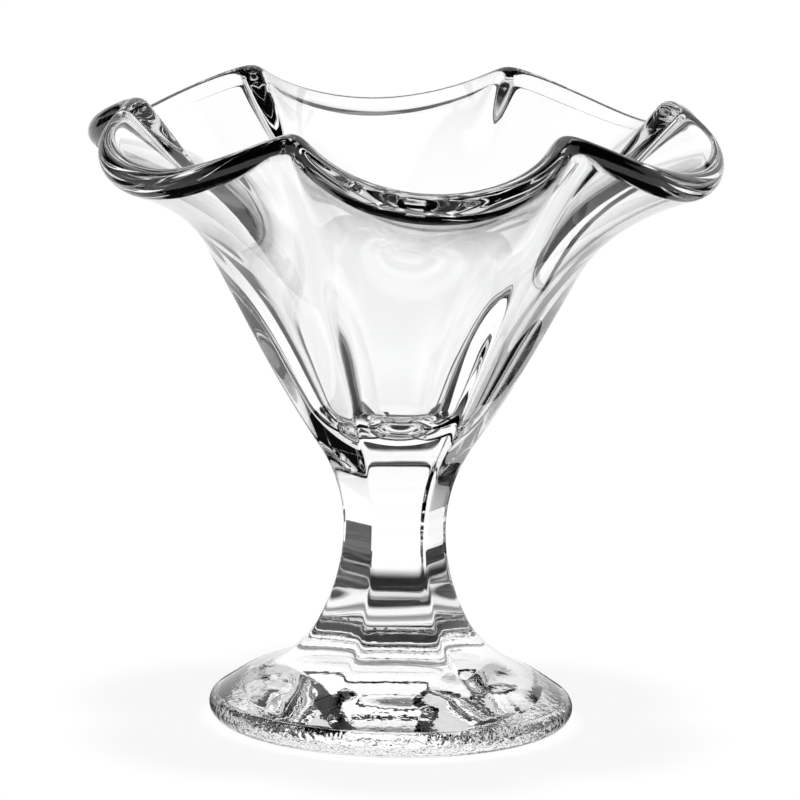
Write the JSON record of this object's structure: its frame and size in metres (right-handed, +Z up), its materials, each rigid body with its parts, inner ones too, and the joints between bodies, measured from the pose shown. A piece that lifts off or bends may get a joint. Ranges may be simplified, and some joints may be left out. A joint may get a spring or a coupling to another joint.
{
  "type": "ice cream dish",
  "caption": "Footed ice cream dish of clear pressed glass: a hexagonal bowl with a flared, scalloped rim on a waisted, faceted stem and a round foot.",
  "frame": {"origin": "centre of the foot's underside, level with the table", "axes": "+Z up along the axis of the stem, -Y towards the front lobe of the rim"},
  "size_m": [0.1126, 0.119, 0.115],
  "materials": {
    "glass": "fire-polished"
  },
  "bodies": {
    "root": {"bowl": "glass", "stem": "glass", "foot": "glass"}
  },
  "joints": []
}
